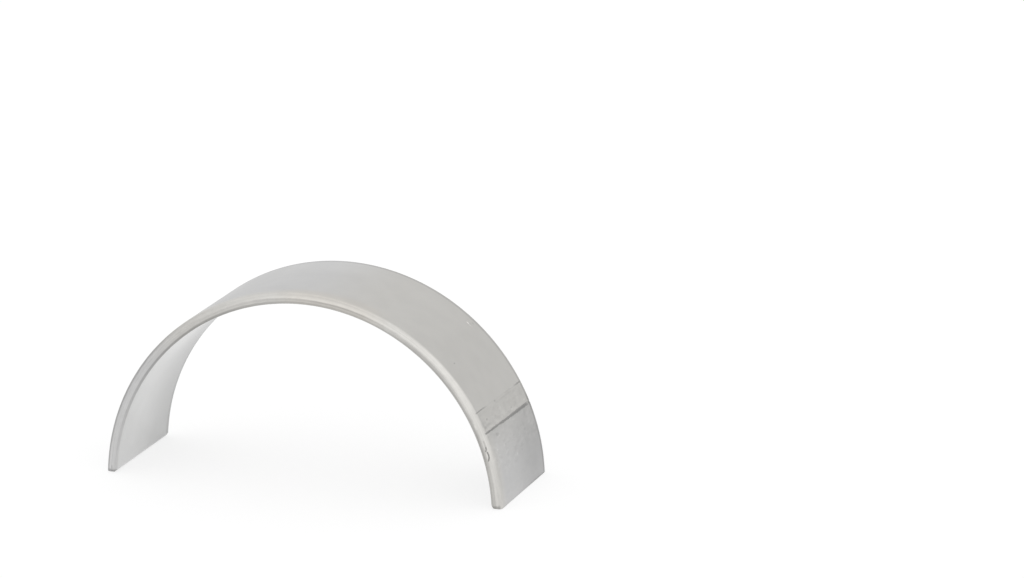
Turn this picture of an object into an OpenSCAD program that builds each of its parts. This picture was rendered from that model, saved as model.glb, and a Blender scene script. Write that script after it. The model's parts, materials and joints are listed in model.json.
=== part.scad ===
// Engine bearing half shell, standing as an arch on its two parting faces.
// The bearing axis runs along Y. The origin is on the parting plane, midway between the feet and
// midway along the width. The shell has its loose shape: it springs a little wider than the half
// circle that its housing presses it into, so the parting plane lies just above the bearing axis.

/* [Shell] */
// Outer radius of the loose shell
outer_r = 26.1; // [20:0.1:40]
// Wall thickness, from the running surface to the back
wall_t = 1.4; // [1:0.05:3]
// Width along the bearing axis
shell_w = 17.4; // [10:0.1:40]
// Height of the parting plane above the bearing axis
parting_rise = 0.95; // [0:0.05:3]

/* [Edges] */
// Depth of the outer side chamfers along the radius
outer_chamfer_depth = 0.65; // [0.2:0.05:0.9]
// Length of the outer side chamfers along the bearing axis
outer_chamfer_run = 0.4; // [0.1:0.05:2]
// Leg of the inner side chamfers
inner_chamfer = 0.27; // [0.1:0.01:0.34]
// Leg of the chamfer along the inner edge of each parting face
parting_chamfer = 0.43; // [0.1:0.01:0.8]
// Radius of the corners where the side edges meet the parting faces
corner_r = 0.4; // [0.1:0.05:2]

/* [Forming lines] */
// Angle of the thin line's middle on the back, from level, about the bearing axis
thin_line_angle = 29.15; // [10:0.05:80]
// Width of the thin line at its front end
thin_line_front_w = 0.12; // [0.05:0.01:0.4]
// Width of the thin line at its rear end
thin_line_rear_w = 0.2; // [0.05:0.01:0.4]
// Angle of the broad line's middle on the back, from level, about the bearing axis
broad_line_angle = 23.05; // [10:0.05:80]
// Width of the broad line at its front end
broad_line_front_w = 0.16; // [0.05:0.01:0.6]
// Width of the broad line at its rear end
broad_line_rear_w = 0.36; // [0.05:0.01:0.6]
// Height above the back at which the round-bottomed lines have their centres
line_centre_h = 0.15; // [0.1:0.01:0.5]
// How far the lines turn away from the bearing axis, their front ends up the back
line_skew = 1.05; // [-3:0.05:3]

/* [Hidden] */
inner_r = outer_r - wall_t;
half_w = shell_w / 2;
// Half the distance between the inner edges of the two parting faces
inner_foot_x = sqrt(inner_r * inner_r - parting_rise * parting_rise);
// How far each cutter runs past the surface that it opens
cut_over = 1;
// Facets of a full turn on the shell and on its small rounds
turn_fn = 360;
round_fn = 48;
satin_grey = [0.75, 0.745, 0.725];

// Section of the wall: radius along x, width along y, all four corners chamfered
module wall_section() {
    polygon([
        [inner_r, -half_w + inner_chamfer],
        [inner_r + inner_chamfer, -half_w],
        [outer_r - outer_chamfer_depth, -half_w],
        [outer_r, -half_w + outer_chamfer_run],
        [outer_r, half_w - outer_chamfer_run],
        [outer_r - outer_chamfer_depth, half_w],
        [inner_r + inner_chamfer, half_w],
        [inner_r, half_w - inner_chamfer]
    ]);
}

// Moves what is drawn about the bearing axis, along z, to the shell's own place
module about_bearing_axis() {
    translate([0, 0, -parting_rise])
        rotate([90, 0, 0])
            children();
}

// Everything below the parting plane
module below_parting_plane() {
    reach = outer_r + cut_over;
    translate([-reach, -half_w - cut_over, -parting_rise - reach])
        cube([2 * reach, shell_w + 2 * cut_over, parting_rise + reach]);
}

// Breaks the inner edge of one parting face
module parting_chamfer_cut() {
    side = parting_chamfer * sqrt(2);
    rotate([0, 45, 0])
        cube([side, shell_w + 2 * cut_over, side], center = true);
}

// Rounds the two corners, one on each foot, where the rear side edge meets the parting faces
module corner_cut() {
    translate([0, half_w - corner_r, 0])
        rotate([90, 0, 90])
            linear_extrude(2 * (outer_r + cut_over), center = true)
                difference() {
                    translate([0, -cut_over])
                        square([corner_r + cut_over, corner_r + cut_over]);
                    translate([0, corner_r])
                        circle(corner_r, $fn = round_fn);
                }
}

// Radius of a cutter, centred above the back, that opens a line of the given width
function line_cutter_r(line_w) = sqrt(line_w * line_w / 4 + line_centre_h * line_centre_h);

// Shallow line across the back, left by the forming tool
module forming_line(angle, front_w, rear_w) {
    rotate([0, 0, angle])
        translate([outer_r + line_centre_h, 0, 0])
            rotate([-line_skew, 0, 0])
                translate([0, 0, -half_w])
                    cylinder(shell_w, line_cutter_r(rear_w), line_cutter_r(front_w), $fn = round_fn);
}

module bearing_shell() {
    color(satin_grey)
        difference() {
            about_bearing_axis()
                rotate_extrude($fn = turn_fn)
                    wall_section();
            below_parting_plane();
            for (side = [-1, 1])
                translate([side * inner_foot_x, 0, 0])
                    parting_chamfer_cut();
            corner_cut();
            mirror([0, 1, 0])
                corner_cut();
            about_bearing_axis() {
                forming_line(thin_line_angle, thin_line_front_w, thin_line_rear_w);
                forming_line(broad_line_angle, broad_line_front_w, broad_line_rear_w);
            }
        }
}

bearing_shell();
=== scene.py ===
"""Looks of the engine bearing shell: a half shell of satin metal, standing as an arch on a pale floor."""

import json
import math

import bmesh
import bpy
from mathutils import Matrix, Vector


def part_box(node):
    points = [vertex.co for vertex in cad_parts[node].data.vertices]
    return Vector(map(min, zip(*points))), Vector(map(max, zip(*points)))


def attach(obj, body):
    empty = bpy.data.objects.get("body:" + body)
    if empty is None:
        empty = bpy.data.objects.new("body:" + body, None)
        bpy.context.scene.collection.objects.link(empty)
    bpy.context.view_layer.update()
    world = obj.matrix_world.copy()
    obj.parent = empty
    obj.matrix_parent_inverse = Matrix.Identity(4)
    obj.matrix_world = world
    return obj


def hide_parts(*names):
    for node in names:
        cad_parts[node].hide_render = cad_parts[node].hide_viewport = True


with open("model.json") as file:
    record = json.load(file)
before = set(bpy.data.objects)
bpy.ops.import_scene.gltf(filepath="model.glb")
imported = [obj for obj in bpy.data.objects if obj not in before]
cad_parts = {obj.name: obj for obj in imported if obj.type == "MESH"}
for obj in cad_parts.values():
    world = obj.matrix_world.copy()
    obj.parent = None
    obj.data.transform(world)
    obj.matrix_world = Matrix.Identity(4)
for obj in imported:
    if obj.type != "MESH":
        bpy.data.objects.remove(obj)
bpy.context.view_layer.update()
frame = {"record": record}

MM = 0.001
NODE = "bearing_shell"

# Sizes of the shell that the frame gives, in metres
mounts = {mount["name"]: mount for mount in frame["record"]["mounts"]}
bore = mounts["running_surface"]
seat = mounts["housing_seat"]
low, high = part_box(NODE)
INNER_R = bore["dims"]["r_mm"] * MM
OUTER_R = seat["dims"]["r_mm"] * MM
RISE = -bore["pos_m"][2]
HALF_W = high.y
INNER_CHAMFER = HALF_W - bore["dims"]["length_mm"] * MM / 2
OUTER_RUN = HALF_W - seat["dims"]["length_mm"] * MM / 2

# Sizes repeated from the CAD source, in metres and degrees
OUTER_DEPTH = 0.65 * MM
PARTING_CHAMFER = 0.43 * MM
CORNER_R = 0.4 * MM
LINE_LIFT = 0.15 * MM
LINE_SKEW = math.tan(math.radians(1.05))
THIN_LINE = {"angle": 29.15, "front_w": 0.12 * MM, "rear_w": 0.2 * MM}
BROAD_LINE = {"angle": 23.05, "front_w": 0.16 * MM, "rear_w": 0.36 * MM}
FORMING_LINES = (THIN_LINE, BROAD_LINE)

# How much of its depth each line keeps in the middle of the width, where the thin one is worn away, and how
# far from the middle the wear ends
THIN_LINE["middle"] = 0.15
BROAD_LINE["middle"] = 1.0
WORN_HALF_W = 6.8 * MM

# Nicks of the front edge: the share of the full depth, and a path of angles in degrees about the bearing
# axis and distances in millimetres round the section from the inner end of the edge face
EDGE_NICKS = (
    (0.3, ((21.7, 0.57), (20.9, 0.6), (20.1, 0.6))),
    (0.9, ((20.0, 0.6), (19.4, 0.57), (18.85, 0.42))),
    (1.0, ((18.5, 0.58), (17.7, 0.63), (17.0, 0.61), (16.6, 0.53), (16.15, 0.4))),
)
EDGE_NICK_REACH = 0.1 * MM
EDGE_NICK_DEPTH = 0.07 * MM

# Nick of the back: a path of angles in degrees and places in millimetres along the width
BACK_NICK = ((50.6, 6.2), (49.0, 6.1))
BACK_NICK_REACH = 0.2 * MM
BACK_NICK_DEPTH = 0.03 * MM

# Rounds of the edges
BORE_ROUND = 0.5 * MM
INNER_ROUND = 0.15 * MM
CREASE_ROUND = 0.15 * MM
BACK_ROUND = 0.3 * MM
FOOT_ROUND = 0.14 * MM

# How finely the mesh is divided: counts of steps, lengths in metres, and angles of stations in degrees
ROUND_STEPS = 6
FOOT_STEPS = 4
CHAMFER_STEPS = 9
EDGE_COLUMNS = 10
ROW_STEP = 0.45 * MM
CLOSE_ROWS = 0.5 * MM
CLOSE_ROW_STEP = 0.08 * MM
STATION_STEP = 1.5
FIRST_STATION = 5.0
FOOT_RINGS = 6
LINE_REACH = 0.3 * MM
LINE_STEP = 0.025 * MM
NICK_STEP = 0.06 * MM

# Distance round the section past which the back lies, a length beyond all of the shell, and how many times
# the height at which a foot ends, which depends on itself, is worked out
BACK_START = OUTER_DEPTH + OUTER_RUN
FAR_OFF = 2 * OUTER_R
FOOT_PASSES = 4

# Camera: where it stands about the bearing axis, and where in the picture that axis is
PICTURE_W = 1024
PICTURE_H = 578
AXIS_PIXEL = (326.29, 478.86)
FOCAL_PIXELS = 5456.5
AZIMUTH = math.radians(18.653)
ELEVATION = math.radians(14.82)
ROLL = math.radians(-0.1006)
DISTANCE = 26.151 * OUTER_R
SENSOR_W = 36.0
CLIP_START = 0.01
CLIP_END = 10.0

# Floor: half its side and its drop below the feet in metres, its grey, and its own light where it is seen
FLOOR_HALF = 2.5
FLOOR_DROP = 0.01 * MM
FLOOR_GREY = (0.28, 0.28, 0.28, 1.0)
FLOOR_GLOW = 0.75

# Surroundings: their light in most directions and at the far left, how it changes above and behind to the
# right, and the direction of that last place
SKY_COLOUR = (1.0, 1.0, 1.0, 1.0)
SKY_LEVEL = 0.93
SKY_LEFT = 0.6
SKY_ABOVE = 1.06
SKY_BEHIND = 0.895
BEHIND = (0.45, 0.89, 0.0)

# Key lamp: its place and size in metres, and its power in watts
KEY_PLACE = (0.45, -0.75, 0.45)
KEY_SIZE = 0.8
KEY_POWER = 0.5


def evenly(start, end, step):
    """Values from start to end, about one step apart."""
    count = max(1, round((end - start) / step))
    return [start + (end - start) * k / count for k in range(count + 1)]


def refined(values, zones):
    """The values in order, divided more closely in each zone of start, end and step."""
    for start, end, step in zones:
        values = [value for value in values if value < start or value > end] + evenly(start, end, step)
    return sorted(values)


def fillet(before, corner, after, radius):
    """Points of the arc that rounds one corner of a line in the section."""
    to_before = (before - corner).normalized()
    to_after = (after - corner).normalized()
    half = to_before.angle(to_after) / 2
    centre = corner + (to_before + to_after).normalized() * (radius / math.sin(half))
    start = corner + to_before * (radius / math.tan(half)) - centre
    end = corner + to_after * (radius / math.tan(half)) - centre
    sweep = start.angle_signed(end)
    turns = [Matrix.Rotation(-sweep * k / ROUND_STEPS, 2) for k in range(ROUND_STEPS + 1)]
    return [centre + turn @ start for turn in turns]


def between(start, end, steps):
    """Points that divide a straight line, without its two ends."""
    return [start.lerp(end, k / steps) for k in range(1, steps)]


def long_rows():
    """Places along the width of the rows on the two long sides, closer at the side edges and at the nick."""
    last = HALF_W - OUTER_RUN - BACK_ROUND
    nick = [y * MM for angle, y in BACK_NICK]
    zones = [
        (-last, -last + CLOSE_ROWS, CLOSE_ROW_STEP),
        (last - CLOSE_ROWS, last, CLOSE_ROW_STEP),
        (min(nick) - BACK_NICK_REACH, max(nick) + BACK_NICK_REACH, NICK_STEP),
    ]
    return refined(evenly(-last, last, ROW_STEP), zones)


def wall_side(surface_r, edge_r, run, edge_round, surface_round):
    """Line round one side of the wall section: radius and width from the front edge face to the rear one."""
    middle_r = (INNER_R + OUTER_R) / 2
    corners = [
        Vector((middle_r, -HALF_W)),
        Vector((edge_r, -HALF_W)),
        Vector((surface_r, -HALF_W + run)),
        Vector((surface_r, HALF_W - run)),
        Vector((edge_r, HALF_W)),
        Vector((middle_r, HALF_W)),
    ]
    rounds = (edge_round, surface_round, surface_round, edge_round)
    arcs = [fillet(*corners[k:k + 3], radius) for k, radius in enumerate(rounds)]
    rows = [Vector((surface_r, y)) for y in long_rows()]
    front = arcs[0] + between(arcs[0][-1], arcs[1][0], CHAMFER_STEPS) + arcs[1]
    rear = arcs[2] + between(arcs[2][-1], arcs[3][0], CHAMFER_STEPS) + arcs[3]
    return front + rows + rear


def from_nearer_end(points):
    """Distance of each point of a line from the nearer end, along the line."""
    lengths = [0.0]
    for first, second in zip(points, points[1:]):
        lengths.append(lengths[-1] + (second - first).length)
    return [min(length, lengths[-1] - length) for length in lengths]


class Section:
    """Wall section as a grid of points, with its rim once round."""

    def __init__(self):
        inner = wall_side(INNER_R, INNER_R + INNER_CHAMFER, INNER_CHAMFER, INNER_ROUND, BORE_ROUND)
        outer = wall_side(OUTER_R, OUTER_R - OUTER_DEPTH, OUTER_RUN, CREASE_ROUND, BACK_ROUND)
        face = (outer[0] - inner[0]).length
        last = len(inner) - 1
        self.rows = len(inner)
        self.cells = [(0, column) for column in range(EDGE_COLUMNS)]
        self.cells += [(row, EDGE_COLUMNS) for row in range(last)]
        self.cells += [(last, column) for column in range(EDGE_COLUMNS, 0, -1)]
        self.cells += [(row, 0) for row in range(last, 0, -1)]
        self.points = [inner[row].lerp(outer[row], column / EDGE_COLUMNS) for row, column in self.cells]
        self.inward = self.find_inward()
        inner_lengths = from_nearer_end(inner)
        outer_lengths = from_nearer_end(outer)
        self.across = []
        for row, column in self.cells:
            share = column / EDGE_COLUMNS
            length = face * share + outer_lengths[row] * share - inner_lengths[row] * (1 - share)
            self.across.append(length)
        self.face_middle = face / 2

    def find_inward(self):
        """Direction into the section at each point of its rim."""
        found = []
        for k, point in enumerate(self.points):
            ahead = (self.points[(k + 1) % len(self.points)] - point).normalized()
            behind = (point - self.points[k - 1]).normalized()
            along = (ahead + behind).normalized()
            found.append(Vector((-along.y, along.x)))
        return found


def stations():
    """Angles about the bearing axis at which the section stands, closer across the lines and nicks."""
    zones = []
    for line in FORMING_LINES:
        reach = math.degrees((LINE_REACH + HALF_W * LINE_SKEW) / OUTER_R)
        zones.append((line["angle"] - reach, line["angle"] + reach, math.degrees(LINE_STEP / OUTER_R)))
    edge_paths = [path for share, path in EDGE_NICKS]
    for paths, reach in ((edge_paths, EDGE_NICK_REACH), ((BACK_NICK,), BACK_NICK_REACH)):
        angles = [angle for path in paths for angle, distance in path]
        margin = math.degrees(reach / OUTER_R)
        zones.append((min(angles) - margin, max(angles) + margin, math.degrees(NICK_STEP / OUTER_R)))
    angles = refined(evenly(FIRST_STATION, 180 - FIRST_STATION, STATION_STEP), zones)
    return [math.radians(angle) for angle in angles]


def line_floor(line, angle, y):
    """Radius of the floor of a forming line, or a large one beside the line."""
    share = (y + HALF_W) / (2 * HALF_W)
    front = math.hypot(line["front_w"] / 2, LINE_LIFT)
    rear = math.hypot(line["rear_w"] / 2, LINE_LIFT)
    cutter = front + (rear - front) * share
    offset = (angle - math.radians(line["angle"])) * OUTER_R + y * LINE_SKEW
    if abs(offset) >= cutter:
        return FAR_OFF
    depth = math.sqrt(cutter * cutter - offset * offset) - LINE_LIFT
    kept = line["middle"] + (1 - line["middle"]) * min(1, (y / WORN_HALF_W) ** 2)
    return OUTER_R - depth * (kept if depth > 0 else 1)


def from_path(path, angle, distance):
    """How far a place is from a nick's path, which has angles in degrees and distances in millimetres."""
    spot = Vector((angle * OUTER_R, distance))
    corners = [Vector((math.radians(turn) * OUTER_R, length * MM)) for turn, length in path]
    nearest = FAR_OFF
    for start, end in zip(corners, corners[1:]):
        share = (spot - start).dot(end - start) / (end - start).length_squared
        nearest = min(nearest, (spot - start.lerp(end, max(0, min(1, share)))).length)
    return nearest


def within(path, angle, distance, reach):
    """How far into a nick a place lies: 0 beside it, 1 at its floor."""
    share = from_path(path, angle, distance) / reach
    return 1 - min(1, share * share)


def edge_nick(point, across, angle):
    """How far a rim point that stands at an angle lies into a nick of the front edge."""
    if point.y > 0 or across < 0 or across > BACK_START:
        return 0.0
    return max(share * within(path, angle, across, EDGE_NICK_REACH) for share, path in EDGE_NICKS)


def back_nick(point, across, angle):
    """How far a rim point that stands at an angle lies into the nick of the back."""
    if point.y < 0 or across < BACK_START:
        return 0.0
    return within(BACK_NICK, angle, point.y, BACK_NICK_REACH)


def at_angle(point, angle):
    """Place of a section point that stands at an angle about the bearing axis."""
    radius = min([point.x] + [line_floor(line, angle, point.y) for line in FORMING_LINES])
    return Vector((radius * math.cos(angle), point.y, radius * math.sin(angle) - RISE))


def station_ring(section, angle):
    """Places of the section's rim that stands at an angle, and how far each lies into a nick of the edge."""
    ring = []
    nicks = []
    for point, inward, across in zip(section.points, section.inward, section.across):
        nicks.append(edge_nick(point, across, angle))
        depth = nicks[-1] * EDGE_NICK_DEPTH + back_nick(point, across, angle) * BACK_NICK_DEPTH
        ring.append(at_angle(point + inward * depth, angle))
    return ring, nicks


def foot_height(point):
    """Height at which a foot ends under a point of the section: flat, with a chamfer and rounded corners."""
    crease = math.sqrt(INNER_R * INNER_R - RISE * RISE) + PARTING_CHAMFER
    past = max(abs(point.y) - (HALF_W - CORNER_R), 0)
    corner = CORNER_R - math.sqrt(max(CORNER_R * CORNER_R - past * past, 0))
    height = corner
    for _ in range(FOOT_PASSES):
        reach = math.sqrt(point.x * point.x - (height + RISE) * (height + RISE))
        height = max(crease - reach, corner)
    return height


def on_leg(point, height, side):
    """Place of a section point that stands at a height above the parting plane, on one leg."""
    place = at_angle(point, math.asin((height + RISE) / point.x))
    return Vector((side * place.x, place.y, place.z))


def foot_rings(section, side):
    """Rings of one leg from its lowest station to its parting face, and the inset points of the last one."""
    first = math.radians(FIRST_STATION)
    rings = []
    for k in range(1, FOOT_RINGS):
        ring = []
        for point in section.points:
            start = math.asin((foot_height(point) + FOOT_ROUND + RISE) / point.x)
            place = at_angle(point, first + (start - first) * k / FOOT_RINGS)
            ring.append(Vector((side * place.x, place.y, place.z)))
        rings.append(ring)
    for k in range(FOOT_STEPS + 1):
        turn = math.pi / 2 * k / FOOT_STEPS
        inset = FOOT_ROUND * (1 - math.cos(turn))
        lift = FOOT_ROUND * (1 - math.sin(turn))
        moved = [point + inward * inset for point, inward in zip(section.points, section.inward)]
        rings.append([on_leg(point, foot_height(point) + lift, side) for point in moved])
    return rings, moved


class ShellMesh:
    """The shell's mesh while it is made. Each vertex keeps its unrolled place, in millimetres: the arc
    length round the back, the width, and the distance round the section from the edge face. It also keeps
    how far it lies into a nick of the edge."""

    def __init__(self, section):
        self.section = section
        self.work = bmesh.new()
        self.unrolled = self.work.verts.layers.float_vector.new("unrolled")
        self.nick = self.work.verts.layers.float.new("nick")

    def add(self, place, across, nick=0.0):
        """New vertex with what it keeps."""
        vertex = self.work.verts.new(place)
        length = math.atan2(place.z + RISE, place.x) * OUTER_R
        vertex[self.unrolled] = Vector((length, place.y, across)) / MM
        vertex[self.nick] = nick
        return vertex

    def add_ring(self, places, nicks):
        """New vertices round the section's rim."""
        return [self.add(*spot) for spot in zip(places, self.section.across, nicks)]

    def join(self, first, second):
        """Faces between two rings."""
        for k in range(len(first)):
            ahead = (k + 1) % len(first)
            self.work.faces.new((first[k], first[ahead], second[ahead], second[k]))

    def close_foot(self, rim, inset, side):
        """Closes one leg with its parting face, a grid whose rim is the last ring."""
        vertices = dict(zip(self.section.cells, rim))
        ends = dict(zip(self.section.cells, inset))
        last = self.section.rows - 1
        for row in range(1, last):
            for column in range(1, EDGE_COLUMNS):
                point = ends[row, 0].lerp(ends[row, EDGE_COLUMNS], column / EDGE_COLUMNS)
                place = on_leg(point, foot_height(point), side)
                vertices[row, column] = self.add(place, self.section.face_middle)
        for row in range(last):
            for column in range(EDGE_COLUMNS):
                corners = ((row, column), (row, column + 1), (row + 1, column + 1), (row + 1, column))
                self.work.faces.new([vertices[corner] for corner in corners])

    def finish(self, name):
        """The finished mesh, with its faces turned outwards."""
        bmesh.ops.recalc_face_normals(self.work, faces=self.work.faces)
        mesh = bpy.data.meshes.new(name)
        self.work.to_mesh(mesh)
        self.work.free()
        mesh.shade_smooth()
        return mesh


def make_shell():
    """The shell as one closed mesh: the wall section swept from foot to foot."""
    section = Section()
    right, inset = foot_rings(section, 1)
    left, _ = foot_rings(section, -1)
    unmarked = [0.0] * len(section.points)
    sweep = [(places, unmarked) for places in right[::-1]]
    sweep += [station_ring(section, angle) for angle in stations()]
    sweep += [(places, unmarked) for places in left]
    made = ShellMesh(section)
    rings = [made.add_ring(places, nicks) for places, nicks in sweep]
    for first, second in zip(rings, rings[1:]):
        made.join(first, second)
    made.close_foot(rings[0], inset, 1)
    made.close_foot(rings[-1], inset, -1)
    shell = bpy.data.objects.new("half_shell", made.finish("half_shell"))
    bpy.context.scene.collection.objects.link(shell)
    shell.modifiers.new("flat_faces", "WEIGHTED_NORMAL")
    return shell


class Graph:
    """Short ways to add nodes to a node tree."""

    def __init__(self, owner):
        owner.use_nodes = True
        self.tree = owner.node_tree
        self.tree.nodes.clear()

    def node(self, kind, inputs=None, **settings):
        """New node with its settings made, and its inputs set or linked."""
        made = self.tree.nodes.new(kind)
        for name, value in settings.items():
            setattr(made, name, value)
        for key, value in (inputs or {}).items():
            if isinstance(value, bpy.types.NodeSocket):
                self.tree.links.new(value, made.inputs[key])
            else:
                made.inputs[key].default_value = value
        return made

    def calc(self, operation, a, b=0.0):
        """Result of one operation on one or two numbers."""
        return self.node("ShaderNodeMath", {0: a, 1: b}, operation=operation).outputs[0]

    def product(self, *factors):
        """All factors multiplied."""
        result = factors[0]
        for factor in factors[1:]:
            result = self.calc("MULTIPLY", result, factor)
        return result

    def darker(self, *shares):
        """Factor that is below 1 by the product of the shares."""
        return self.calc("SUBTRACT", 1.0, self.product(*shares))

    def lighter(self, *shares):
        """Factor that is above 1 by the product of the shares."""
        return self.calc("ADD", 1.0, self.product(*shares))

    def ease(self, value, start, end, to_start=0.0, to_end=1.0, kind="SMOOTHSTEP"):
        """Value carried from one range to another, and held at its ends."""
        inputs = {"Value": value, "From Min": start, "From Max": end, "To Min": to_start, "To Max": to_end}
        return self.node("ShaderNodeMapRange", inputs, interpolation_type=kind).outputs["Result"]

    def swing(self, value, start, end, amount):
        """Factor that goes from an amount below 1 to as much above it."""
        return self.ease(value, start, end, 1 - amount, 1 + amount)

    def only_where(self, share, factor):
        """Factor that counts where the share is 1, and is 1 where the share is 0."""
        return self.ease(share, 0.0, 1.0, 1.0, factor, "LINEAR")

    def split(self, vector):
        """The three values of a vector."""
        return self.node("ShaderNodeSeparateXYZ", {0: vector}).outputs

    def join(self, x, y, z=0.0):
        """Vector of three values."""
        return self.node("ShaderNodeCombineXYZ", {0: x, 1: y, 2: z}).outputs[0]

    def noise(self, vector, scale=1.0, detail=2.0, roughness=0.5):
        """Soft noise between 0 and 1."""
        inputs = {"Vector": vector, "Scale": scale, "Detail": detail, "Roughness": roughness}
        return self.node("ShaderNodeTexNoise", inputs).outputs["Fac"]

    def waves(self, vector, **settings):
        """Soft noise about 0."""
        return self.calc("SUBTRACT", self.noise(vector, **settings), 0.5)

    def blend(self, share, a, b, kind="MIX"):
        """Two colours mixed, by the numbers of the sockets that a mix node has for colours."""
        inputs = {"Factor": share, 6: a, 7: b}
        return self.node("ShaderNodeMix", inputs, data_type="RGBA", blend_type=kind).outputs[2]

    def tinted(self, share, colour, tint):
        """Colour that takes a tint where the share is 1."""
        return self.blend(share, colour, self.blend(1.0, colour, tint, "MULTIPLY"))

    def ramp(self, value, stops):
        """Colours at places from 0 to 1."""
        made = self.node("ShaderNodeValToRGB", {"Fac": value})
        bar = made.color_ramp.elements
        while len(bar) < len(stops):
            bar.new(1.0)
        for element, (place, colour) in zip(bar, stops):
            element.position = place
            element.color = (*colour, 1.0)
        return made.outputs["Color"]


# Green and blue of a slightly warm grey, as shares of its red
WARM_GREEN = 0.982
WARM_BLUE = 0.942


def warm(level):
    """Slightly warm grey."""
    return (level, level * WARM_GREEN, level * WARM_BLUE)


# Tones round the section, from the bore over the side edge to the back, at distances in millimetres from
# the inner end of the edge face: over most of the arch, and towards its left foot. Besides the metal's own
# tones they hold painted light on the outer chamfer, and painted shade on the inner chamfer over most of the
# arch and at the outer chamfer's back corner towards the left foot
BORE_TONE = (0.64, 0.64, 0.635)
BACK_TONE = warm(0.6)
SECTION_TONES = (
    (-0.46, BORE_TONE),
    (-0.38, warm(0.47)),
    (-0.05, warm(0.45)),
    (0.03, warm(0.43)),
    (0.1, warm(0.49)),
    (0.38, warm(0.54)),
    (0.52, warm(0.635)),
    (0.75, warm(0.66)),
    (1.2, warm(0.66)),
    (1.55, BACK_TONE),
)
LEFT_SECTION_TONES = (
    (-0.46, BORE_TONE),
    (-0.38, warm(0.59)),
    (-0.05, warm(0.59)),
    (0.06, warm(0.6)),
    (0.4, warm(0.6)),
    (0.6, warm(0.65)),
    (0.79, warm(0.61)),
    (0.95, warm(0.44)),
    (1.02, warm(0.44)),
    (1.22, BACK_TONE),
)
TONE_START = -1.0
TONE_END = 2.0

# How far the tones of the edge shift to and fro along the arch, and inwards where its face is narrower, and
# how far the edges of lines and marks waver up and down the back, in millimetres
TONE_SHIFT = 0.08
NARROW_SHIFT = 0.15
WAVER = 0.16

# Tints of the cooler places, and of the painted warm reflection on the front of the crown
COOL_TINT = (0.948, 0.962, 1.0, 1.0)
WARM_REFLECTION_TINT = (1.0, 0.982, 0.962, 1.0)

# How strong the darkening is in each place, from 0 to 1, and how wide and how ragged it lies in the lines.
# In the nicks and the lines it is dark residue with painted shade; along the rear edge, at the feet and
# along the rear edge of the bore it is painted shade
NICK_STAIN_AND_SHADE = 0.6
BROAD_STAIN_AND_SHADE = 0.5
BROAD_END_STAIN_AND_SHADE = 0.05
BROAD_SPREAD = 1.35
THIN_STAIN_AND_SHADE = 0.4
THIN_MIDDLE_SHARE = 0.08
THIN_SPREAD = 1.2
RAGGEDNESS = 0.25
REAR_EDGE_SHADE = 0.2
FOOT_EDGE_SHADE = 0.28
FOOT_FRONT_SHADE = 0.04
FOOT_REAR_SHADE = 0.31
BORE_EDGE_SHADE = 0.12

# How much the tone changes in each place: painted shade on the left leg's inner edge and on the right foot's
# edge, painted light in the bore and on the back of the feet, and painted shade towards the rear of the bore
INNER_SHADE = 0.29
RIGHT_FOOT_EDGE_SHADE = 0.09
BORE_PAINTED_LIGHT = 0.1
FOOT_PAINTED_LIGHT = 0.055
REAR_BORE_SHADE = 0.74

# How much the uneven looks change the tone: streaks and mottle of the edges, scuffs, soft patches and grain
EDGE_STREAKS = 0.36
LEFT_EDGE_STREAKS = 0.2
EDGE_MOTTLE = 0.16
SCUFF_TONE = 0.08
PATCH_TONE = 0.015
GRAIN_TONE = 0.02

# Roughness of the bore, of the rest and of the grain, and how deep the grain is
BORE_ROUGHNESS = 0.3
OUTER_ROUGHNESS = 0.38
GRAIN_ROUGHNESS = 0.03
GRAIN_BUMP = 0.1
GRAIN_DEPTH = 0.01 * MM

# Marks on the back: angle in degrees, place along the width, reach along the arc and along the width in
# millimetres, and how they change the tone. The first ones lie above the lines, most of them at the nick,
# where they draw a light spot and its painted shadow
UPPER_MARKS_AND_SHADOW = (
    (50.3, 6.2, 0.3, 0.2, 1.5),
    (49.6, 6.5, 0.3, 0.16, 0.9),
    (49.5, 6.13, 0.35, 0.16, 1.15),
    (49.3, 7.1, 0.2, 0.25, 0.86),
    (43.7, -5.2, 0.16, 0.3, 0.75),
)

# Marks on and between the lines
LINE_MARKS = (
    (29.02, 3.1, 0.18, 1.7, 0.945),
    (29.0, -1.6, 0.2, 0.35, 0.82),
    (28.42, 2.2, 0.2, 3.0, 0.92),
    (26.35, -6.2, 0.2, 0.4, 0.75),
    (25.0, -6.4, 0.25, 1.0, 0.9),
    (25.0, 4.4, 0.5, 2.6, 0.97),
    (24.8, -7.6, 0.25, 0.5, 0.87),
    (24.6, 2.1, 0.22, 0.45, 0.88),
    (24.22, -1.85, 0.25, 0.6, 1.07),
    (24.2, 2.1, 0.16, 0.4, 1.1),
    (24.1, 6.75, 0.15, 0.4, 1.12),
    (23.4, -6.3, 0.3, 1.5, 0.91),
    (23.2, -3.4, 0.25, 0.9, 1.12),
    (23.2, 8.0, 1.3, 0.4, 0.7),
)

# Marks below the lines
FOOT_MARKS = (
    (22.4, -7.2, 0.3, 0.8, 0.93),
    (22.0, 1.0, 0.8, 3.0, 1.025),
    (21.9, -5.5, 0.9, 1.8, 0.95),
    (21.2, -4.95, 0.28, 0.8, 0.84),
    (20.6, -4.5, 0.16, 0.4, 1.06),
    (18.2, 5.7, 0.3, 0.6, 1.1),
    (18.1, -0.2, 0.25, 0.4, 0.93),
    (17.7, -6.5, 0.18, 0.35, 1.13),
    (17.4, -4.05, 0.22, 0.45, 1.09),
    (17.4, 3.75, 0.3, 0.6, 0.9),
    (12.9, -0.55, 0.2, 0.4, 1.14),
    (12.9, 1.35, 0.2, 0.4, 0.93),
    (8.8, 8.35, 0.7, 0.5, 0.92),
)

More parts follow.
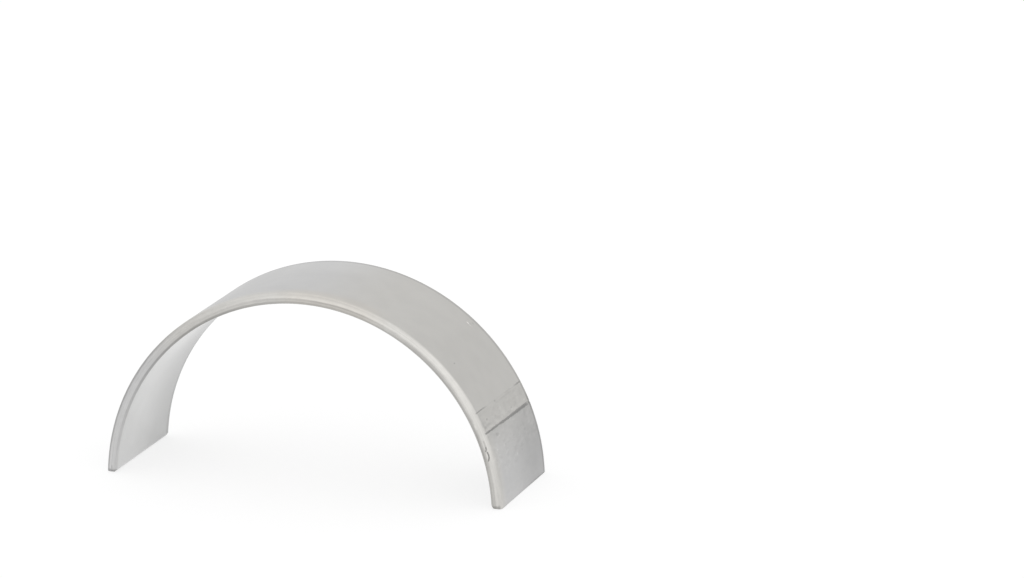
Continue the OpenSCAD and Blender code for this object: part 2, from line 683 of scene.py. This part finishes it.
# Broad faint patches of the back
BROAD_PATCHES = (
    (12.0, -1.0, 4.0, 14.0, 0.982),
    (75.0, 0.0, 7.0, 15.0, 0.97),
    (93.0, 6.5, 9.0, 5.5, 1.05),
    (104.0, -7.5, 9.0, 6.0, 0.97),
    (119.0, 0.0, 8.0, 18.0, 0.945),
)

# Painted highlights and shade of the side edges, as soft patches in the same way, with distances round the
# section in place of the width
EDGE_HIGHLIGHTS_AND_SHADE = (
    (9.0, 0.03, 4.5, 0.24, 1.08),
    (10.0, 1.4, 3.5, 0.5, 0.965),
    (10.5, 0.45, 2.5, 0.25, 1.06),
    (17.0, 0.38, 0.6, 0.16, 1.14),
    (18.2, 0.42, 0.5, 0.14, 1.1),
    (20.5, 0.03, 4.0, 0.15, 0.86),
    (25.0, 0.58, 4.5, 0.25, 0.94),
    (25.5, 1.45, 4.0, 0.4, 0.95),
    (26.1, 0.31, 0.5, 0.16, 1.14),
    (33.5, 0.25, 2.5, 0.18, 1.08),
    (37.0, 1.2, 11.0, 0.25, 1.12),
    (60.0, 0.37, 5.0, 0.2, 1.07),
    (64.5, 0.08, 4.5, 0.35, 1.09),
    (79.0, 0.16, 10.0, 0.2, 1.07),
    (79.0, 0.34, 6.5, 0.16, 0.88),
    (83.0, -0.12, 8.0, 0.2, 1.1),
    (84.0, 0.6, 12.0, 0.22, 1.16),
    (97.0, 0.16, 10.0, 0.15, 1.09),
    (108.0, 0.48, 9.0, 0.2, 1.07),
    (113.0, 0.14, 8.0, 0.2, 1.1),
    (145.0, 0.62, 9.0, 0.25, 1.1),
    (150.0, 1.08, 4.5, 0.28, 1.13),
    (169.0, 0.85, 5.0, 0.2, 0.91),
    (176.3, 0.35, 0.4, 0.14, 0.82),
)


def arc_mm(angle):
    """Arc length on the back, in millimetres, up to an angle in degrees from the level of the axis."""
    return math.radians(angle) * OUTER_R / MM


class MetalGraph(Graph):
    """Node tree of the metal, with the places and the regions on the shell that its looks follow."""

    def __init__(self, material):
        super().__init__(material)
        unrolled = self.node("ShaderNodeAttribute", attribute_name="unrolled").outputs["Vector"]
        self.nick = self.node("ShaderNodeAttribute", attribute_name="nick").outputs["Fac"]
        self.length, self.width, self.across = self.split(unrolled)
        self.plain = self.join(self.length, self.width)
        waver = self.product(self.waves(self.plain, scale=2.2, detail=3.0), WAVER)
        self.wavy = self.calc("ADD", self.length, waver)
        self.up_leg = self.calc("MINIMUM", self.length, self.calc("SUBTRACT", arc_mm(180), self.length))
        self.on_back = self.by_section(1.0, 1.3)
        self.on_edge = self.product(self.by_section(-0.45, -0.35), self.by_section(1.35, 1.1))
        self.in_bore = self.by_section(-0.4, -0.5)
        self.below_thin = self.product(self.ease(self.from_line(THIN_LINE), 0.1, -0.5), self.on_back)
        self.below_broad = self.product(self.ease(self.from_line(BROAD_LINE), 0.1, -0.3), self.on_back)
        grain_place = self.join(self.length, self.product(self.width, 2.0), self.across)
        self.grain = self.noise(grain_place, scale=7.0, detail=3.0)

    def by_angle(self, start, end, to_start=0.0, to_end=1.0):
        """Value that changes along the arch, between two angles in degrees."""
        return self.ease(self.length, arc_mm(start), arc_mm(end), to_start, to_end)

    def by_leg(self, start, end):
        """Value that changes up both legs, between two arc lengths from the level of the axis."""
        return self.ease(self.up_leg, start, end)

    def by_width(self, start, end, to_start=0.0, to_end=1.0):
        """Value that changes along the width, between two places in millimetres."""
        return self.ease(self.width, start, end, to_start, to_end)

    def by_section(self, start, end, to_start=0.0, to_end=1.0):
        """Value that changes round the section, between two distances in millimetres."""
        return self.ease(self.across, start, end, to_start, to_end)

    def from_line(self, line):
        """Distance up the back from the middle of a forming line, a little wavy."""
        level = self.calc("ADD", self.wavy, self.product(self.width, LINE_SKEW))
        return self.calc("SUBTRACT", level, arc_mm(line["angle"]))


def section_colour(metal):
    """Colour round the section, with the painted light and shade of its chamfers, which changes along the
    arch.
    The edge face narrows to the right.
    """
    narrower = metal.product(
        metal.by_angle(0, 30),
        metal.by_angle(58, 34),
        metal.by_section(0.05, 0.3),
        metal.by_section(0.95, 0.6),
        NARROW_SHIFT,
    )
    uneven = metal.noise(metal.join(metal.product(metal.length, 0.6), 0.0), detail=4.0, roughness=0.6)
    shift = metal.calc("ADD", narrower, metal.ease(uneven, 0.2, 0.8, -TONE_SHIFT, TONE_SHIFT))
    shifted = metal.calc("ADD", metal.across, shift)
    spread = metal.ease(shifted, TONE_START, TONE_END, kind="LINEAR")
    ramps = []
    for tones in (SECTION_TONES, LEFT_SECTION_TONES):
        stops = [((place - TONE_START) / (TONE_END - TONE_START), tone) for place, tone in tones]
        ramps.append(metal.ramp(spread, stops))
    return metal.blend(metal.by_angle(110, 155), ramps[0], ramps[1])


def tint(metal, colour):
    """Colour made cooler towards the right foot, on the crown and on the left leg's edges, and warmer on the
    front of the crown, where a warm reflection is painted."""
    cool_foot = metal.product(metal.below_broad, metal.by_angle(23, 8, 0.45, 1.0))
    cool_crown = metal.product(metal.by_angle(70, 95), metal.on_back)
    cool_back = metal.product(metal.calc("MAXIMUM", cool_foot, cool_crown), metal.by_width(-8.2, -6.0))
    cool_left = metal.product(metal.by_angle(125, 145), metal.on_edge)
    # Painted warm reflection on the front of the crown
    painted_warm_reflection = metal.product(
        metal.by_angle(62, 72),
        metal.by_angle(99, 90),
        metal.by_width(-5.5, -7.5),
        metal.by_section(-0.4, -0.2),
    )
    cooled = metal.tinted(metal.calc("MAXIMUM", cool_back, cool_left), colour, COOL_TINT)
    return metal.tinted(painted_warm_reflection, cooled, WARM_REFLECTION_TINT)


def line_stain_and_shade(metal, line, spread, lean=0.0):
    """Where the dark residue of a forming line lies, with the painted shade of its groove, which may lean
    down the back.
    """
    half_w = HALF_W / MM
    front = line["front_w"] / MM / 2 * spread
    rear = line["rear_w"] / MM / 2 * spread
    half = metal.ease(metal.width, -half_w, half_w, front, rear, "LINEAR")
    ragged = metal.noise(metal.join(metal.width, line["angle"]), scale=1.3)
    half = metal.product(half, metal.swing(ragged, 0.3, 0.7, RAGGEDNESS))
    offset = metal.calc("ABSOLUTE", metal.calc("ADD", metal.from_line(line), lean))
    return metal.ease(metal.calc("DIVIDE", offset, half), 1.3, 0.6)


def find_residue_and_shade(metal):
    """How much the metal is darkened: dark residue with painted shade in the lines and nicks, and painted
    shade along the rear edge, at the bottom of the feet and along the rear edge of the bore.
    """
    # Dark residue of the forming lines, with the painted shade of their grooves
    broad_lean = metal.by_width(-3.0, -1.5, 0.0, 0.045)
    broad = metal.product(
        line_stain_and_shade(metal, BROAD_LINE, BROAD_SPREAD, broad_lean),
        metal.on_back,
        metal.by_width(7.9, 6.7, BROAD_END_STAIN_AND_SHADE, BROAD_STAIN_AND_SHADE),
    )
    thin_front = metal.by_width(-4.0, -6.6, THIN_MIDDLE_SHARE, 1.0)
    thin_rear = metal.by_width(5.0, 7.3, THIN_MIDDLE_SHARE, 1.0)
    thin = metal.product(
        line_stain_and_shade(metal, THIN_LINE, THIN_SPREAD),
        metal.on_back,
        metal.calc("MAXIMUM", thin_front, thin_rear),
        THIN_STAIN_AND_SHADE,
    )
    # Painted shade along the rear edge of the back, at the bottom of the feet and along the rear edge of the
    # bore
    past_chamfer = metal.product(metal.by_section(1.9, 1.65), metal.by_width(0.0, 1.0))
    rear_edge = metal.product(past_chamfer, metal.on_back, REAR_EDGE_SHADE)
    foot_edge = metal.product(
        metal.by_leg(1.55, 1.25),
        metal.on_edge,
        metal.by_section(1.1, 0.8),
        FOOT_EDGE_SHADE,
    )
    back_foot = metal.product(
        metal.by_leg(1.28, 1.08),
        metal.on_back,
        metal.by_width(0.0, 5.0, FOOT_FRONT_SHADE, FOOT_REAR_SHADE),
    )
    bore_edge = metal.product(metal.by_width(7.4, 7.8), metal.in_bore, BORE_EDGE_SHADE)
    # Dark residue in the nicks of the edge, with their painted shade
    darkening = metal.product(metal.nick, NICK_STAIN_AND_SHADE)
    for stain in (broad, thin, rear_edge, foot_edge, back_foot, bore_edge):
        darkening = metal.calc("MAXIMUM", darkening, stain)
    return darkening


def films_and_shade(metal):
    """Factors of the dull film on the back below the lines, with painted shade that deepens towards the rear
    and the foot, and of the painted shade in the bore, deeper towards the rear."""
    film_and_shade_depth = metal.product(
        metal.below_broad,
        metal.by_width(-5.5, 6.0, 0.03, 0.2),
        metal.by_angle(22, 13, 0.75, 1.15),
    )
    thin_film = metal.only_where(metal.below_thin, metal.by_width(-1.0, 5.0, 0.95, 0.935))
    back_film_and_shade = metal.product(thin_film, metal.darker(film_and_shade_depth))
    painted_bore_shade = metal.only_where(metal.in_bore, metal.by_width(-5.0, 8.0, 1.0, REAR_BORE_SHADE))
    return (back_film_and_shade, painted_bore_shade)


def marks_and_highlights(metal, length, side, spots):
    """Factor of soft spots of changed tone, at a length round the arch and a distance to its side: marks,
    and painted highlights and shade.
    """
    tone = 1.0
    for angle, place, arc_reach, side_reach, change in spots:
        offset = metal.join(
            metal.calc("DIVIDE", metal.calc("SUBTRACT", length, arc_mm(angle)), arc_reach),
            metal.calc("DIVIDE", metal.calc("SUBTRACT", side, place), side_reach),
        )
        distance = metal.node("ShaderNodeVectorMath", {0: offset}, operation="LENGTH").outputs["Value"]
        tone = metal.product(tone, metal.ease(distance, 0.3, 1.0, change, 1.0))
    return tone


def marks_and_edge_highlights(metal):
    """Factors of the marks on the back, with a painted shadow at the nick, and of the painted highlights and
    shade on the side edges.
    """
    back_marks_and_shadow = UPPER_MARKS_AND_SHADOW + LINE_MARKS + FOOT_MARKS + BROAD_PATCHES
    on_back = metal.only_where(metal.on_back, marks_and_highlights(metal, metal.wavy, metal.width, back_marks_and_shadow))
    return (on_back, marks_and_highlights(metal, metal.length, metal.across, EDGE_HIGHLIGHTS_AND_SHADE))


def painted_light_and_shade(metal):
    """Factors of the painted shade on the inner edge of the left leg and on the edge of the right foot, and
    of the painted light in the bore and on the back of the feet."""
    inner_shade = metal.product(
        metal.by_angle(95, 128),
        metal.by_angle(178, 135),
        metal.by_section(0.04, -0.1),
        metal.by_section(-0.46, -0.38),
    )
    right_foot_shade = metal.product(metal.by_angle(18, 11), metal.by_section(0.55, 0.8), metal.on_edge)
    painted_bore_light = metal.product(metal.by_angle(90, 120), metal.by_angle(148, 134), metal.in_bore)
    painted_foot_light = metal.product(metal.by_leg(3.8, 1.2), metal.on_back)
    return (
        metal.darker(inner_shade, INNER_SHADE),
        metal.darker(right_foot_shade, RIGHT_FOOT_EDGE_SHADE),
        metal.lighter(painted_bore_light, BORE_PAINTED_LIGHT),
        metal.lighter(painted_foot_light, FOOT_PAINTED_LIGHT),
    )


def unevenness(metal):
    """Factors of the scuffs below the lines, the streaks and the mottle of the side edges, and the soft
    patches and fine grain everywhere."""
    scuff_place = metal.join(metal.product(metal.length, 1.8), metal.product(metal.width, 0.7))
    scuffs = metal.noise(scuff_place, detail=3.0, roughness=0.6)
    scuffed = metal.product(
        metal.below_thin,
        metal.ease(metal.noise(metal.plain, scale=0.5, detail=1.0), 0.4, 0.62, 0.25, 1.0),
        metal.by_angle(9, 16, 0.3, 1.0),
    )
    streak_place = metal.join(metal.product(metal.length, 0.12), metal.product(metal.across, 7.0))
    streaks = metal.waves(streak_place, detail=3.0)
    streaked = metal.by_angle(95, 125, EDGE_STREAKS, LEFT_EDGE_STREAKS)
    mottle_place = metal.join(metal.length, metal.product(metal.across, 2.2))
    mottle = metal.waves(mottle_place, detail=3.0)
    patches = metal.noise(metal.plain, scale=0.35)
    return (
        metal.only_where(scuffed, metal.swing(scuffs, 0.3, 0.7, SCUFF_TONE)),
        metal.lighter(metal.on_edge, streaks, streaked),
        metal.lighter(metal.on_edge, mottle, EDGE_MOTTLE),
        metal.swing(patches, 0.3, 0.7, PATCH_TONE),
        metal.swing(metal.grain, 0.2, 0.8, GRAIN_TONE),
    )


def satin_metal():
    """Satin plated metal: its tone, gloss and grain change between the back, the bore and the cut edges."""
    material = bpy.data.materials.new("satin_metal")
    metal = MetalGraph(material)
    # Dark residue and painted shade lower the tone and the metallic share together
    unstained_unshaded = metal.darker(find_residue_and_shade(metal))
    tone = metal.product(unstained_unshaded, *films_and_shade(metal), *marks_and_edge_highlights(metal), *painted_light_and_shade(metal), *unevenness(metal))
    colour = tint(metal, section_colour(metal))
    roughness = metal.calc(
        "ADD",
        metal.by_section(-0.5, 0.0, BORE_ROUGHNESS, OUTER_ROUGHNESS),
        metal.ease(metal.grain, 0.2, 0.8, -GRAIN_ROUGHNESS, GRAIN_ROUGHNESS),
    )
    bump_inputs = {"Strength": GRAIN_BUMP, "Distance": GRAIN_DEPTH, "Height": metal.grain}
    bump = metal.node("ShaderNodeBump", bump_inputs)
    inputs = {
        "Base Color": metal.blend(1.0, colour, metal.join(tone, tone, tone), "MULTIPLY"),
        "Metallic": unstained_unshaded,
        "Roughness": roughness,
        "Normal": bump.outputs[0],
    }
    shader = metal.node("ShaderNodeBsdfPrincipled", inputs)
    metal.node("ShaderNodeOutputMaterial", {"Surface": shader.outputs[0]})
    return material


def pale_floor():
    """Pale grey that is lifted to white where the camera or the metal sees it."""
    material = bpy.data.materials.new("pale_floor")
    graph = Graph(material)
    path = graph.node("ShaderNodeLightPath").outputs
    seen = graph.calc("MAXIMUM", path["Is Camera Ray"], path["Is Glossy Ray"])
    seen = graph.calc("MAXIMUM", seen, path["Is Transmission Ray"])
    pale = graph.node("ShaderNodeBsdfDiffuse", {"Color": FLOOR_GREY})
    white = graph.node("ShaderNodeEmission", {"Strength": graph.product(seen, FLOOR_GLOW)})
    both = graph.node("ShaderNodeAddShader", {0: pale.outputs[0], 1: white.outputs[0]})
    graph.node("ShaderNodeOutputMaterial", {"Surface": both.outputs[0]})
    return material


def make_floor():
    """Wide flat floor just under the feet, which keeps a soft shadow."""
    mesh = bpy.data.meshes.new("floor")
    corners = [(x * FLOOR_HALF, y * FLOOR_HALF, 0) for x, y in ((-1, -1), (1, -1), (1, 1), (-1, 1))]
    mesh.from_pydata(corners, [], [(0, 1, 2, 3)])
    mesh.materials.append(pale_floor())
    floor = bpy.data.objects.new("floor", mesh)
    floor.location.z = low.z - FLOOR_DROP
    bpy.context.scene.collection.objects.link(floor)


def make_world():
    """Soft white surroundings, darker to the left and towards the right behind the object."""
    world = bpy.data.worlds.new("studio")
    bpy.context.scene.world = world
    graph = Graph(world)
    direction = graph.node("ShaderNodeTexCoord").outputs["Generated"]
    side, _, up = graph.split(direction)
    behind = graph.node("ShaderNodeVectorMath", {0: direction, 1: BEHIND}, operation="DOT_PRODUCT")
    level = graph.product(
        graph.ease(side, -1.0, -0.85, SKY_LEFT, SKY_LEVEL),
        graph.ease(up, 0.5, 0.8, 1.0, SKY_ABOVE),
        graph.ease(behind.outputs["Value"], 0.58, 0.95, 1.0, SKY_BEHIND),
    )
    sky = graph.node("ShaderNodeBackground", {"Color": SKY_COLOUR, "Strength": level})
    graph.node("ShaderNodeOutputWorld", {"Surface": sky.outputs[0]})


def make_lamp(name, place, size, power):
    """Round soft lamp that faces the object."""
    lamp = bpy.data.lights.new(name, "AREA")
    lamp.shape = "DISK"
    lamp.size = size
    lamp.energy = power
    made = bpy.data.objects.new(name, lamp)
    made.location = place
    made.rotation_mode = "QUATERNION"
    made.rotation_quaternion = (-Vector(place)).to_track_quat("-Z", "Y")
    bpy.context.scene.collection.objects.link(made)


def make_camera():
    """Camera at the photograph's own viewing angle, far off with a long lens."""
    flat = math.cos(ELEVATION)
    back = Vector((math.sin(AZIMUTH) * flat, -math.cos(AZIMUTH) * flat, math.sin(ELEVATION)))
    level = Vector((math.cos(AZIMUTH), math.sin(AZIMUTH), 0))
    upright = back.cross(level)
    right = level * math.cos(ROLL) + upright * math.sin(ROLL)
    up = upright * math.cos(ROLL) - level * math.sin(ROLL)
    aside = (AXIS_PIXEL[0] - PICTURE_W / 2) / FOCAL_PIXELS * DISTANCE
    above = (PICTURE_H / 2 - AXIS_PIXEL[1]) / FOCAL_PIXELS * DISTANCE
    data = bpy.data.cameras.new("camera")
    data.sensor_width = SENSOR_W
    data.lens = FOCAL_PIXELS * SENSOR_W / PICTURE_W
    data.clip_start = CLIP_START
    data.clip_end = CLIP_END
    camera = bpy.data.objects.new("camera", data)
    bpy.context.scene.collection.objects.link(camera)
    turn = Matrix((right, up, back)).transposed()
    camera.rotation_mode = "QUATERNION"
    camera.rotation_quaternion = turn.to_quaternion()
    camera.location = Vector((0, 0, -RISE)) + back * DISTANCE - right * aside - up * above
    bpy.context.scene.camera = camera


bpy.context.scene.view_settings.view_transform = "Standard"
make_camera()
make_floor()
make_world()
make_lamp("key", KEY_PLACE, KEY_SIZE, KEY_POWER)

shell = make_shell()
shell.data.materials.append(satin_metal())
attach(shell, "root")
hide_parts(NODE)
